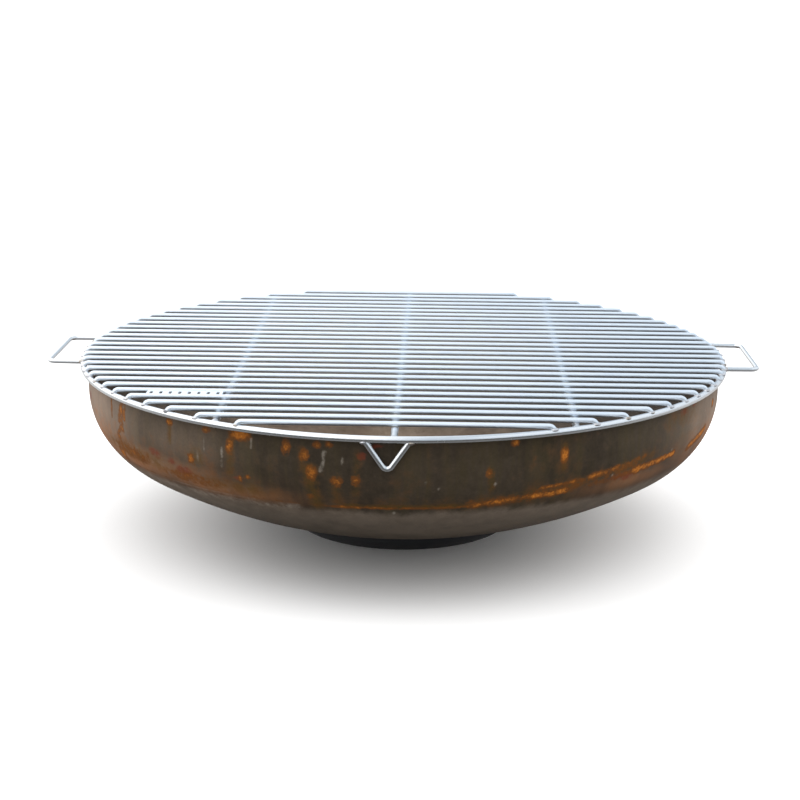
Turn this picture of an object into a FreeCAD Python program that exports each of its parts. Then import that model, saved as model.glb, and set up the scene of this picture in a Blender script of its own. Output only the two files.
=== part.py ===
import FreeCAD
import Part

import math
import os

# A fire pit with a lift-off grate: a dished steel bowl stands on a loose foot ring, and a grate of
# round rods rests on the bowl's rim. Millimetres. +Z is up, the bars run along X, the front is -Y,
# and the origin is on the ground under the bowl's centre.

Vector = FreeCAD.Vector

# bowl: a straight skirt, a knuckle and a spherical crown (radii are those of the outside)
bowl_outer_radius = 400.0
bowl_wall = 3.0
bowl_skirt_height = 25.0
bowl_knuckle_radius = 100.0
bowl_crown_radius = 685.0
bowl_rim_round = 1.0
drain_hole_radius = 6.0

# foot ring that the crown rests on
foot_outer_radius = 140.0
foot_wall = 4.0
bowl_ground_gap = 5.0

# grate rods
ring_rod_radius = 4.0
cross_rod_radius = 4.0
cross_rod_spacing = 198.0
bar_radius = 3.0
bar_count = 29
bar_gap_back = 32.5
bar_gap_front = 38.5
bar_leg_stub = 1.0
weld_set_down = 0.3

# how much of the ring, in degrees, is used to shape the end of each bar
cope_angle = 8.0

# lifting handles; the right one is welded on a little further back
handle_rod_radius = 3.0
handle_reach = 38.5
handle_width_at_ring = 136.0
handle_width_at_grip = 134.0
handle_bend_radius = 9.0
handle_right_set_back = 8.0

# V-shaped lugs that hang outside the wall and keep the grate centred
lug_rod_radius = 3.5
lug_half_width = 25.5
lug_corner_depth = 37.0
lug_bend_radius = 6.0
lug_first_angle = -1.0
lug_names = ("locating_lug_front", "locating_lug_rear_right", "locating_lug_rear_left")

# slotted strip between two bars
strip_length = 88.0
strip_thickness = 2.0
strip_bar_number = 24
strip_slot_count = 8
strip_slot_width = 3.5
strip_slot_length = 11.0

# clearances
seat_clearance = 0.3
lug_clearance = 1.0

# bowl sizes that follow
knuckle_centre_radius = bowl_outer_radius - bowl_knuckle_radius
crown_to_knuckle = bowl_crown_radius - bowl_knuckle_radius
crown_centre_rise = math.sqrt(crown_to_knuckle**2 - knuckle_centre_radius**2)
crown_half_angle = math.asin(knuckle_centre_radius / crown_to_knuckle)
bowl_depth = bowl_skirt_height + bowl_crown_radius - crown_centre_rise
rim_z = bowl_ground_gap + bowl_depth
knuckle_centre_z = rim_z - bowl_skirt_height
crown_centre_z = knuckle_centre_z + crown_centre_rise

# foot ring: its inner top edge carries the crown
foot_inner_radius = foot_outer_radius - foot_wall
crown_rise_at_foot = bowl_crown_radius - math.sqrt(bowl_crown_radius**2 - foot_inner_radius**2)
foot_height = bowl_ground_gap + crown_rise_at_foot - seat_clearance

# grate levels and radii that follow: the cross rods rest on the rim, the bars lie on the cross rods,
# and the ring lies outside the wall with its top level with the bars' undersides
lug_plane = bowl_outer_radius + lug_clearance + lug_rod_radius
ring_radius = math.hypot(lug_plane, lug_half_width)
cross_rod_z = rim_z + seat_clearance + cross_rod_radius
bar_z = cross_rod_z + cross_rod_radius + bar_radius - weld_set_down
ring_z = bar_z - bar_radius - ring_rod_radius
bar_bend_radius = bar_z - ring_z - bar_leg_stub
bar_pitch = (2 * ring_radius - bar_gap_back - bar_gap_front) / (bar_count - 1)


def bar_y(number):
    """Y of a bar; bar 1 is at the back."""
    return ring_radius - bar_gap_back - (number - 1) * bar_pitch


def ring_half_chord(offset):
    """Half the chord of the ring's centre-line at a distance from its middle."""
    return math.sqrt(ring_radius**2 - offset**2)


def rounded_path(corners, bend_radius):
    """A wire of straight runs through the corners, joined by tangent arcs."""
    edges = []
    run_start = corners[0]
    for before, corner, after in zip(corners, corners[1:], corners[2:]):
        towards = (corner - before).normalize()
        away = (after - corner).normalize()
        half_turn = towards.getAngle(away) / 2
        setback = bend_radius * math.tan(half_turn)
        arc_start = corner - towards * setback
        arc_end = corner + away * setback
        inward = (away - towards).normalize()
        arc_middle = corner + inward * bend_radius * (1 / math.cos(half_turn) - 1)
        edges.append(Part.LineSegment(run_start, arc_start).toShape())
        edges.append(Part.Arc(arc_start, arc_middle, arc_end).toShape())
        run_start = arc_end
    edges.append(Part.LineSegment(run_start, corners[-1]).toShape())
    return Part.Wire(edges)


def bent_rod(corners, bend_radius, rod_radius):
    """A round rod bent through the corners."""
    path = rounded_path(corners, bend_radius)
    section = Part.Wire(Part.makeCircle(rod_radius, corners[0], corners[1] - corners[0]))
    return path.makePipeShell([section], True, True)


def straight_rod(start, end, rod_radius):
    """A round rod from one point to another."""
    run = end - start
    return Part.makeCylinder(rod_radius, run.Length, start, run)


def one_solid(shape):
    """The single solid that a cut leaves."""
    if len(shape.Solids) != 1:
        raise ValueError(f"a cut left {len(shape.Solids)} solids instead of one")
    return shape.Solids[0]


def crown_point(radius_from_centre, sphere_radius):
    """Point of a crown sphere at a distance from the axis."""
    drop = math.sqrt(sphere_radius**2 - radius_from_centre**2)
    return Vector(radius_from_centre, 0, crown_centre_z - drop)


def shell_arcs(inset):
    """Crown arc and knuckle arc of one face of the wall, from the drain hole to the skirt."""
    sphere_radius = bowl_crown_radius - inset
    knuckle_radius = bowl_knuckle_radius - inset
    knuckle_centre = Vector(knuckle_centre_radius, 0, knuckle_centre_z)
    hole_edge = crown_point(drain_hole_radius, sphere_radius)
    crown_middle = crown_point(sphere_radius * math.sin(crown_half_angle / 2), sphere_radius)
    crown_edge = crown_point(sphere_radius * math.sin(crown_half_angle), sphere_radius)
    middle_angle = (math.pi / 2 - crown_half_angle) / 2
    outward = Vector(math.cos(middle_angle), 0, -math.sin(middle_angle))
    knuckle_middle = knuckle_centre + outward * knuckle_radius
    skirt_foot = knuckle_centre + Vector(knuckle_radius, 0, 0)
    crown = Part.Arc(hole_edge, crown_middle, crown_edge).toShape()
    knuckle = Part.Arc(crown_edge, knuckle_middle, skirt_foot).toShape()
    return hole_edge, [crown, knuckle], skirt_foot


def make_bowl():
    """Spun bowl with one wall thickness, a rounded rim and a drain hole."""
    outer_hole, outer_arcs, outer_skirt = shell_arcs(0)
    inner_hole, inner_arcs, inner_skirt = shell_arcs(bowl_wall)
    outer_rim = Vector(outer_skirt.x, 0, rim_z)
    inner_rim = Vector(inner_skirt.x, 0, rim_z)
    edges = outer_arcs + inner_arcs
    for start, end in (
        (outer_skirt, outer_rim),
        (outer_rim, inner_rim),
        (inner_rim, inner_skirt),
        (inner_hole, outer_hole),
    ):
        edges.append(Part.LineSegment(start, end).toShape())
    outline = Part.Wire(Part.__sortEdges__(edges))
    bowl = Part.Face(outline).revolve(Vector(0, 0, 0), Vector(0, 0, 1), 360)
    rim_edges = [edge for edge in bowl.Edges if edge.BoundBox.ZMin > rim_z - bowl_rim_round / 2]
    return bowl.makeFillet(bowl_rim_round, rim_edges)


def make_foot_ring():
    """Low round ring on the ground."""
    outside = Part.makeCylinder(foot_outer_radius, foot_height)
    inside = Part.makeCylinder(foot_inner_radius, foot_height)
    return outside.cut(inside)


def make_ring():
    """Rod rolled to a circle."""
    return Part.makeTorus(ring_radius, ring_rod_radius, Vector(0, 0, ring_z))


def ring_stretch(x, y):
    """A short stretch of the ring's rod about a point of its centre-line."""
    stretch = Part.makeTorus(
        ring_radius, ring_rod_radius, Vector(0, 0, ring_z), Vector(0, 0, 1), -180, 180, cope_angle
    )
    middle = math.degrees(math.atan2(y, x))
    stretch.rotate(Vector(0, 0, 0), Vector(0, 0, 1), middle - cope_angle / 2)
    return stretch


def make_cross_rod(x, ring):
    """Straight rod under the bars, coped into the ring at both ends."""
    half_length = ring_half_chord(x)
    start = Vector(x, -half_length, cross_rod_z)
    end = Vector(x, half_length, cross_rod_z)
    return one_solid(straight_rod(start, end, cross_rod_radius).cut(ring))


def make_bar(number, cross_rods):
    """Bar with both ends turned down onto the ring, set a little into the cross rods."""
    y = bar_y(number)
    half_length = ring_half_chord(y)
    corners = [
        Vector(-half_length, y, ring_z),
        Vector(-half_length, y, bar_z),
        Vector(half_length, y, bar_z),
        Vector(half_length, y, ring_z),
    ]
    supports = cross_rods + [ring_stretch(side * half_length, y) for side in (-1, 1)]
    return one_solid(bent_rod(corners, bar_bend_radius, bar_radius).cut(supports))


def make_handle(side, ring):
    """U-shaped handle in the ring's plane; side is -1 on the left and +1 on the right."""
    set_back = handle_right_set_back if side > 0 else 0.0
    grip_x = side * (ring_radius + handle_reach)
    front_end, front_corner, back_corner, back_end = (
        set_back + half
        for half in (
            -handle_width_at_ring / 2,
            -handle_width_at_grip / 2,
            handle_width_at_grip / 2,
            handle_width_at_ring / 2,
        )
    )
    corners = [
        Vector(side * ring_half_chord(front_end), front_end, ring_z),
        Vector(grip_x, front_corner, ring_z),
        Vector(grip_x, back_corner, ring_z),
        Vector(side * ring_half_chord(back_end), back_end, ring_z),
    ]
    return one_solid(bent_rod(corners, handle_bend_radius, handle_rod_radius).cut(ring))


def make_lug(angle, ring):
    """V-shaped lug under the ring, turned about the bowl's axis from the front."""
    corners = [
        Vector(-lug_half_width, -lug_plane, ring_z),
        Vector(0, -lug_plane, ring_z - lug_corner_depth),
        Vector(lug_half_width, -lug_plane, ring_z),
    ]
    lug = bent_rod(corners, lug_bend_radius, lug_rod_radius)
    lug.rotate(Vector(0, 0, 0), Vector(0, 0, 1), angle)
    return one_solid(lug.cut(ring))


def make_strip(bars):
    """Flat strip between two bars, with a row of plain slots across it."""
    back_y = bar_y(strip_bar_number)
    front_y = bar_y(strip_bar_number + 1)
    end_x = -cross_rod_spacing - cross_rod_radius
    corner = Vector(end_x - strip_length, front_y, bar_z - strip_thickness / 2)
    strip = Part.makeBox(strip_length, back_y - front_y, strip_thickness, corner)
    slot_pitch = strip_length / strip_slot_count
    slot_y = (back_y + front_y - strip_slot_length) / 2
    cutters = list(bars)
    for index in range(strip_slot_count):
        slot_x = corner.x + (index + 0.5) * slot_pitch - strip_slot_width / 2
        slot_corner = Vector(slot_x, slot_y, corner.z)
        cutters.append(Part.makeBox(strip_slot_width, strip_slot_length, strip_thickness, slot_corner))
    return one_solid(strip.cut(cutters))


def make_nodes():
    """Every sub-part by its name."""
    ring = make_ring()
    nodes = {"bowl": make_bowl(), "foot_ring": make_foot_ring(), "grate_ring": ring}
    for place, x in (("left", -cross_rod_spacing), ("centre", 0), ("right", cross_rod_spacing)):
        nodes[f"cross_rod_{place}"] = make_cross_rod(x, ring)
    cross_rods = [shape for name, shape in nodes.items() if name.startswith("cross_rod")]
    for number in range(1, bar_count + 1):
        nodes[f"bar_{number:02d}"] = make_bar(number, cross_rods)
    nodes["handle_left"] = make_handle(-1, ring)
    nodes["handle_right"] = make_handle(1, ring)
    for index, name in enumerate(lug_names):
        nodes[name] = make_lug(lug_first_angle + index * 360 / len(lug_names), ring)
    neighbours = [nodes[f"bar_{strip_bar_number + step:02d}"] for step in (0, 1)]
    nodes["slotted_strip"] = make_strip(neighbours)
    return nodes


os.makedirs("parts", exist_ok=True)
for node_name, node_shape in make_nodes().items():
    if not node_shape.isValid():
        raise ValueError(f"{node_name} is not a valid solid")
    node_shape.exportStep(f"parts/{node_name}.step")
    print(f"{node_name}: {node_shape.Volume / 1000:.1f} cm3, {len(node_shape.Solids)} solid")
print(f"rim {rim_z:.1f}, foot height {foot_height:.1f}, ring radius {ring_radius:.1f}, bar pitch {bar_pitch:.2f}")
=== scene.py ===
"""Looks of a fire pit: a weathered steel bowl on a black foot ring, under a lift-off grate of bright rods.

Lengths are in metres unless a name says otherwise. +Z is up, the bars run along X and the front is -Y.
"""

import logging
import math
import random
from dataclasses import dataclass, field
from enum import Enum
from typing import Any, Iterable, Sequence, Union

import bpy
import numpy as np
from mathutils import Matrix, Vector


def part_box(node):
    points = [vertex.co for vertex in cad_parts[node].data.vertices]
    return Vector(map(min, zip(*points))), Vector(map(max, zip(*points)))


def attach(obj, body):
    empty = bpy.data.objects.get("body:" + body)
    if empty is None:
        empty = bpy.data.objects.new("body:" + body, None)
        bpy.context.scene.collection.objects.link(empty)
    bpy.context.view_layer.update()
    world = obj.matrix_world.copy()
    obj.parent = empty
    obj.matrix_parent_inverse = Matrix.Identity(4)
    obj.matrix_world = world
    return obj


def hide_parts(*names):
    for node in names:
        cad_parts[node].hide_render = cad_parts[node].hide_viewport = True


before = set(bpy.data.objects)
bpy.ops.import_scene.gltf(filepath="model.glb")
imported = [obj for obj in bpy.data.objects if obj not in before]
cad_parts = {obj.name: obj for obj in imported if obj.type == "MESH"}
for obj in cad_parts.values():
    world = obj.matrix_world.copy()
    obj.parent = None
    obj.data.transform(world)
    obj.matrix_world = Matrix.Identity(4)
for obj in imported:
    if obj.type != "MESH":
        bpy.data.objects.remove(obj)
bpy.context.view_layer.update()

LOG = logging.getLogger("fire_pit")
MM = 0.001

Colour = tuple[float, float, float]
Term = Union["Value", float]


# --- node graphs ---------------------------------------------------------------------------------


class Value:
    """A number socket whose arithmetic adds Math nodes."""

    def __init__(self, graph: "NodeGraph", socket: bpy.types.NodeSocket) -> None:
        """Keeps the socket and the graph that it belongs to."""
        self.graph = graph
        self.socket = socket

    def math(self, operation: str, *terms: Term) -> "Value":
        """Adds one Math node.

        Args:
            operation: The Math node's operation.
            terms: The numbers or values of its sockets, in order.

        Returns:
            The node's result.
        """
        inputs = dict(enumerate(terms))
        result = self.graph.node("ShaderNodeMath", {"operation": operation}, inputs)
        return Value(self.graph, result.outputs[0])

    def __add__(self, other: Term) -> "Value":
        """Sum."""
        return self.math("ADD", self, other)

    __radd__ = __add__

    def __sub__(self, other: Term) -> "Value":
        """Difference."""
        return self.math("SUBTRACT", self, other)

    def __rsub__(self, other: Term) -> "Value":
        """Difference from a number."""
        return self.math("SUBTRACT", other, self)

    def __mul__(self, other: Term) -> "Value":
        """Product."""
        return self.math("MULTIPLY", self, other)

    __rmul__ = __mul__

    def __truediv__(self, other: Term) -> "Value":
        """Quotient."""
        return self.math("DIVIDE", self, other)

    def __pow__(self, other: Term) -> "Value":
        """Power."""
        return self.math("POWER", self, other)

    def larger(self, other: Term) -> "Value":
        """The larger of two values."""
        return self.math("MAXIMUM", self, other)

    def step(self, low: float, high: float) -> "Value":
        """Rises smoothly from 0 at low to 1 at high.

        Args:
            low: Where the result is 0.
            high: Where the result is 1; below low, the result falls instead.

        Returns:
            The smooth step.
        """
        turned = high < low
        ends = {0: self, 1: min(low, high), 2: max(low, high), 3: float(turned), 4: float(not turned)}
        settings = {"interpolation_type": "SMOOTHSTEP"}
        return Value(self.graph, self.graph.node("ShaderNodeMapRange", settings, ends).outputs[0])


class NodeGraph:
    """Builds a shader, world or geometry node tree."""

    def __init__(self, tree: bpy.types.NodeTree) -> None:
        """Empties the tree."""
        self.tree = tree
        tree.nodes.clear()

    def node(
        self, kind: str, settings: dict[str, Any] | None = None, inputs: dict[Any, Any] | None = None
    ) -> bpy.types.Node:
        """Adds any node.

        Args:
            kind: The node's type.
            settings: Its properties, which are set first.
            inputs: Values or links for its sockets, by name or index.

        Returns:
            The new node.
        """
        made = self.tree.nodes.new(kind)
        for name, value in (settings or {}).items():
            setattr(made, name, value)
        for key, value in (inputs or {}).items():
            self.feed(made.inputs[key], value)
        return made

    def feed(self, socket: bpy.types.NodeSocket, value: Any) -> None:
        """Links a value to a socket, or sets the socket's own number, colour or material.

        Args:
            socket: The socket to feed.
            value: A link, or a plain number or name.
        """
        source = value.socket if isinstance(value, Value) else value
        if isinstance(source, bpy.types.NodeSocket):
            self.tree.links.new(source, socket)
        else:
            socket.default_value = source

    def joined(self, x: Term, y: Term, z: Term) -> bpy.types.NodeSocket:
        """A vector from three numbers."""
        return self.node("ShaderNodeCombineXYZ", None, {0: x, 1: y, 2: z}).outputs[0]


class ShaderGraph(NodeGraph):
    """A shader tree with the few textures and mixes that the finishes share."""

    def coordinate(self) -> bpy.types.NodeSocket:
        """Object coordinates."""
        return self.node("ShaderNodeTexCoord").outputs["Object"]

    def split(self, vector: Any) -> tuple[Value, Value, Value]:
        """The three numbers of a vector."""
        made = self.node("ShaderNodeSeparateXYZ", None, {0: vector})
        return Value(self, made.outputs[0]), Value(self, made.outputs[1]), Value(self, made.outputs[2])

    def noise(self, vector: Any, scale: float, detail: float = 4.0, roughness: float = 0.55) -> Value:
        """Noise from 0 to 1.

        Args:
            vector: Where the noise is read.
            scale: Features per metre.
            detail: Octaves.
            roughness: Share of the finer octaves.

        Returns:
            The noise.
        """
        inputs = {"Vector": vector, "Scale": scale, "Detail": detail, "Roughness": roughness}
        return Value(self, self.node("ShaderNodeTexNoise", None, inputs).outputs[0])

    def attribute(self, name: str) -> Value:
        """A number that the mesh itself carries."""
        return Value(self, self.node("ShaderNodeAttribute", {"attribute_name": name}).outputs["Fac"])

    def attribute_vector(self, name: str) -> bpy.types.NodeSocket:
        """A vector that the mesh itself carries."""
        return self.node("ShaderNodeAttribute", {"attribute_name": name}).outputs["Vector"]

    def mix(self, factor: Term, first: Any, second: Any) -> bpy.types.NodeSocket:
        """Mixes two colours.

        Args:
            factor: 0 for the first colour and 1 for the second.
            first: A colour or a link.
            second: A colour or a link.

        Returns:
            The mixed colour.
        """
        ends = [(*c, 1.0) if isinstance(c, tuple) else c for c in (first, second)]
        settings = {"data_type": "RGBA", "blend_type": "MIX", "clamp_factor": True}
        return self.node("ShaderNodeMix", settings, {0: factor, 6: ends[0], 7: ends[1]}).outputs[2]

    def scaled(self, colour: Any, factor: Term) -> bpy.types.NodeSocket:
        """A colour made lighter or darker by a factor."""
        settings = {"operation": "SCALE"}
        return self.node("ShaderNodeVectorMath", settings, {0: colour, "Scale": factor}).outputs[0]

    def bump(self, height: Value, distance: float, strength: float = 1.0) -> bpy.types.NodeSocket:
        """A normal from a height.

        Args:
            height: The height, from 0 to 1.
            distance: What a height of 1 is worth, in metres.
            strength: Share of the effect.

        Returns:
            The bent normal.
        """
        inputs = {"Height": height, "Distance": distance, "Strength": strength}
        return self.node("ShaderNodeBump", None, inputs).outputs[0]

    def surface(self, **sockets: Any) -> None:
        """Ends the tree in a Principled shader; underscores in a name stand for spaces.

        Args:
            sockets: What each of the shader's sockets takes.
        """
        inputs = {name.replace("_", " "): value for name, value in sockets.items()}
        shader = self.node("ShaderNodeBsdfPrincipled", None, inputs)
        self.node("ShaderNodeOutputMaterial", None, {"Surface": shader.outputs[0]})


def new_shader(name: str) -> tuple[bpy.types.Material, ShaderGraph]:
    """A new material and the graph of its tree.

    Args:
        name: The material's name.

    Returns:
        The material and its graph.
    """
    material = bpy.data.materials.new(name)
    material.use_nodes = True
    return material, ShaderGraph(material.node_tree)


class GeometryGraph(NodeGraph):
    """A geometry node group with named inputs, which ends in realized geometry with one material."""

    def __init__(self, name: str, inputs: dict[str, str]) -> None:
        """Makes the group.

        Args:
            name: The group's name.
            inputs: The type of each named input.
        """
        super().__init__(bpy.data.node_groups.new(name, "GeometryNodeTree"))
        face = self.tree.interface
        face.new_socket("Geometry", in_out="OUTPUT", socket_type="NodeSocketGeometry")
        face.new_socket("Geometry", in_out="INPUT", socket_type="NodeSocketGeometry")
        for label, kind in inputs.items():
            face.new_socket(label, in_out="INPUT", socket_type=f"NodeSocket{kind}")
        self.entry = self.node("NodeGroupInput")

    def given(self, name: str) -> bpy.types.NodeSocket:
        """A named input's socket."""
        return self.entry.outputs[name]

    def number(self, name: str) -> Value:
        """A named input as a value for arithmetic."""
        return Value(self, self.given(name))

    def index(self) -> Value:
        """The index field."""
        return Value(self, self.node("GeometryNodeInputIndex").outputs[0])

    def store(self, geometry: Any, name: str, kind: str, value: Any) -> bpy.types.NodeSocket:
        """Stores a named attribute on the points.

        Args:
            geometry: What carries the attribute.
            name: The attribute's name.
            kind: FLOAT or FLOAT_VECTOR.
            value: The field to store.

        Returns:
            The geometry with the attribute.
        """
        settings = {"data_type": kind, "domain": "POINT"}
        inputs = {"Geometry": geometry, "Name": name, "Value": value}
        return self.node("GeometryNodeStoreNamedAttribute", settings, inputs).outputs[0]

    def rod(self, curve: Any, radius: Any, sides: int) -> bpy.types.NodeSocket:
        """A round rod along a curve, which carries its length and section for the drawn finish.

        Args:
            curve: The rod's centre-line.
            radius: The rod's radius.
            sides: Faces round the rod.

        Returns:
            The rod's mesh.
        """
        length = self.node("GeometryNodeSplineParameter").outputs["Length"]
        path = self.store(curve, "rod_along", "FLOAT", length)
        circle = self.node("GeometryNodeCurvePrimitiveCircle", None, {"Resolution": sides, "Radius": radius})
        place = self.node("GeometryNodeInputPosition").outputs[0]
        section = self.store(circle.outputs[0], "rod_section", "FLOAT_VECTOR", place)
        inputs = {"Curve": path, "Profile Curve": section, "Fill Caps": True}
        return self.node("GeometryNodeCurveToMesh", None, inputs).outputs[0]

    def bent(self, mesh: Any) -> bpy.types.NodeSocket:
        """Turns chains of edges into curves whose corners are rounded to the Bend radius input.

        Args:
            mesh: The chains.

        Returns:
            The curves.
        """
        curve = self.node("GeometryNodeMeshToCurve", None, {0: mesh}).outputs[0]
        bend = {"Curve": curve, "Radius": self.given("Bend radius"), "Limit Radius": True, "Count": 8}
        return self.node("GeometryNodeFilletCurve", {"mode": "POLY"}, bend).outputs[0]

    def close(self, geometry: Any) -> None:
        """Ends the group: smooth faces, real geometry and the Material input.

        Args:
            geometry: What the group has made.
        """
        smooth = self.node("GeometryNodeSetShadeSmooth", None, {"Geometry": geometry})
        real = self.node("GeometryNodeRealizeInstances", None, {"Geometry": smooth.outputs[0]})
        inputs = {"Geometry": real.outputs[0], "Material": self.given("Material")}
        dressed = self.node("GeometryNodeSetMaterial", None, inputs)
        self.node("NodeGroupOutput", None, {"Geometry": dressed.outputs[0]})

    def build(self, name: str, source: bpy.types.Mesh | None = None, **values: Any) -> bpy.types.Object:
        """Runs the group once and keeps its result as a plain mesh.

        Args:
            name: The new piece's name.
            source: The mesh that the group starts from.
            values: Values of the named inputs; underscores stand for spaces.

        Returns:
            The piece, with no modifier left.
        """
        piece = new_piece(name, source or bpy.data.meshes.new(name))
        modifier = piece.modifiers.new("shape", "NODES")
        modifier.node_group = self.tree
        ids = {s.name: s.identifier for s in self.tree.interface.items_tree if s.in_out == "INPUT"}
        for label, value in values.items():
            modifier[ids[label.replace("_", " ")]] = value
        piece.update_tag()
        graph = bpy.context.evaluated_depsgraph_get()
        graph.update()
        done = bpy.data.meshes.new_from_object(
            piece.evaluated_get(graph), preserve_all_data_layers=True, depsgraph=graph
        )
        piece.modifiers.clear()
        piece.data = done
        done.name = name
        return piece


# --- meshes --------------------------------------------------------------------------------------


def new_piece(name: str, mesh: bpy.types.Mesh) -> bpy.types.Object:
    """An object at the origin, linked to the scene.

    Args:
        name: The piece's name.
        mesh: Its mesh.

    Returns:
        The object.
    """
    piece = bpy.data.objects.new(name, mesh)
    bpy.context.scene.collection.objects.link(piece)
    return piece


def chain_mesh(name: str, chains: Iterable[Sequence[Vector]]) -> bpy.types.Mesh:
    """A mesh of open chains of edges.

    Args:
        name: The mesh's name.
        chains: Each chain's corners in order.

    Returns:
        The mesh, with no faces.
    """
    points: list[Vector] = []
    edges: list[tuple[int, int]] = []
    for chain in chains:
        first = len(points)
        points.extend(chain)
        edges.extend((i, i + 1) for i in range(first, len(points) - 1))
    mesh = bpy.data.meshes.new(name)
    mesh.from_pydata([tuple(p) for p in points], edges, [])
    return mesh


def arc(
    centre: tuple[float, float], radius: float, start: float, end: float, count: int
) -> list[tuple[float, float]]:
    """Points of an arc in the (radius, height) plane.

    Args:
        centre: The arc's centre.
        radius: The arc's radius.
        start: First angle in radians, from the outward direction towards up.
        end: Last angle.
        count: Number of steps.

    Returns:
        count + 1 points.
    """
    angles = [start + (end - start) * i / count for i in range(count + 1)]
    return [(centre[0] + radius * math.cos(a), centre[1] + radius * math.sin(a)) for a in angles]


def middle(node: str) -> Vector:
    """The middle of a CAD node's box."""
    low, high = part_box(node)
    return (low + high) / 2


def paint(mesh: bpy.types.Mesh, name: str, values: np.ndarray) -> None:
    """Stores one number for each vertex."""
    layer = mesh.attributes.new(name, "FLOAT", "POINT")
    layer.data.foreach_set("value", values.astype(np.float32))


def vertex_array(mesh: bpy.types.Mesh) -> np.ndarray:
    """The mesh's vertices as rows of three.

    Args:
        mesh: The mesh.

    Returns:
        One row for each vertex.
    """
    flat = np.zeros(len(mesh.vertices) * 3)
    mesh.vertices.foreach_get("co", flat)
    return flat.reshape(-1, 3)


def spun_shell_group() -> GeometryGraph:
    """A group that spins an outline round Z.

    Returns:
        The group: its source is a closed outline in the XZ plane whose last point repeats the first.
    """
    graph = GeometryGraph("spun_shell", {"Segments": "Int", "Material": "Material"})
    outline = graph.given("Geometry")
    size = graph.node("GeometryNodeAttributeDomainSize", {"component": "MESH"}, {0: outline})
    rows = Value(graph, size.outputs["Point Count"])
    segments = graph.number("Segments")
    sheet = graph.node("GeometryNodeMeshGrid", None, {"Vertices X": segments + 1, "Vertices Y": rows})
    index = graph.index()
    column = index.math("FLOOR", (index + 0.5) / rows)
    row = index - column * rows
    place = graph.node("GeometryNodeInputPosition").outputs[0]
    settings = {"data_type": "FLOAT_VECTOR", "domain": "POINT"}
    inputs = {"Geometry": outline, "Value": place, "Index": row}
    sampled = graph.node("GeometryNodeSampleIndex", settings, inputs)
    parts = graph.node("ShaderNodeSeparateXYZ", None, {0: sampled.outputs[0]})
    radius, height = Value(graph, parts.outputs[0]), Value(graph, parts.outputs[2])
    angle = column * math.tau / segments
    spun = graph.joined(radius * angle.math("COSINE", angle), radius * angle.math("SINE", angle), height)
    placed = graph.node("GeometryNodeSetPosition", None, {"Geometry": sheet.outputs[0], "Position": spun})
    weld = {"Geometry": placed.outputs[0], "Distance": 1e-6}
    graph.close(graph.node("GeometryNodeMergeByDistance", None, weld).outputs[0])
    return graph


def spin(
    group: GeometryGraph, name: str, outline: list[tuple[float, float]], segments: int,
    material: bpy.types.Material,
) -> bpy.types.Object:
    """Spins an outline round Z and turns its faces outwards.

    Args:
        group: The spun shell group.
        name: The piece's name.
        outline: (radius, height) points of a closed outline, without a repeated point.
        segments: Faces round the axis.
        material: The finish.

    Returns:
        The piece.
    """
    source = chain_mesh(f"{name}_outline", [[Vector((r, 0, z)) for r, z in [*outline, outline[0]]]])
    piece = group.build(name, source, Segments=segments, Material=material)
    mesh = piece.data
    mesh.calc_loop_triangles()
    points = vertex_array(mesh)
    corners = np.array([t.vertices for t in mesh.loop_triangles])
    first, second, third = (points[corners[:, i]] for i in range(3))
    if np.einsum("ij,ij->i", first, np.cross(second, third)).sum() < 0:
        mesh.flip_normals()
    return piece


# --- finishes ------------------------------------------------------------------------------------


class Mark(Enum):
    """Kinds of mark on the bowl; each value is the name of the mesh attribute that holds it."""

    ORANGE = "mark_orange"
    BROWN = "mark_brown"
    STAIN = "mark_stain"
    PALE = "mark_pale"
    WORN = "mark_worn"


@dataclass(frozen=True)
class Spot:
    """An oval mark. Azimuth is in degrees from the front towards +X, and the rest in millimetres."""

    azimuth: float
    depth: float
    half_width: float
    half_height: float
    strength: float = 1.0

    def amount(self, along: np.ndarray, depth: np.ndarray, round_length: float) -> np.ndarray:
        """How strong the mark is at each point.

        Args:
            along: Distance round the bowl from the front.
            depth: Distance below the rim.
            round_length: The whole way round.

        Returns:
            Numbers from 0 to the mark's strength.
        """
        across = along - self.azimuth / 360 * round_length
        across = (across + round_length / 2) % round_length - round_length / 2
        square = (across / self.half_width) ** 2 + ((depth - self.depth) / self.half_height) ** 2
        return self.strength * np.exp(-square)


@dataclass(frozen=True)
class Streak:
    """A long thin mark through (azimuth, depth) points, in degrees and millimetres."""

    points: tuple[tuple[float, float], ...]
    half_width: float
    strength: float = 1.0

    def amount(self, along: np.ndarray, depth: np.ndarray, round_length: float) -> np.ndarray:
        """How strong the mark is at each point.

        Args:
            along: Distance round the bowl from the front.
            depth: Distance below the rim.
            round_length: The whole way round.

        Returns:
            Numbers from 0 to the mark's strength.
        """
        best = np.full(along.shape, 1e9)
        for start, end in zip(self.points, self.points[1:]):
            a = np.array([start[0] / 360 * round_length, start[1]])
            run = np.array([end[0] / 360 * round_length, end[1]]) - a
            u = (along - a[0] + round_length / 2) % round_length - round_length / 2
            v = depth - a[1]
            share = np.clip((u * run[0] + v * run[1]) / (run @ run), 0, 1)
            best = np.minimum(best, (u - share * run[0]) ** 2 + (v - share * run[1]) ** 2)
        return self.strength * np.exp(-best / self.half_width**2)


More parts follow.
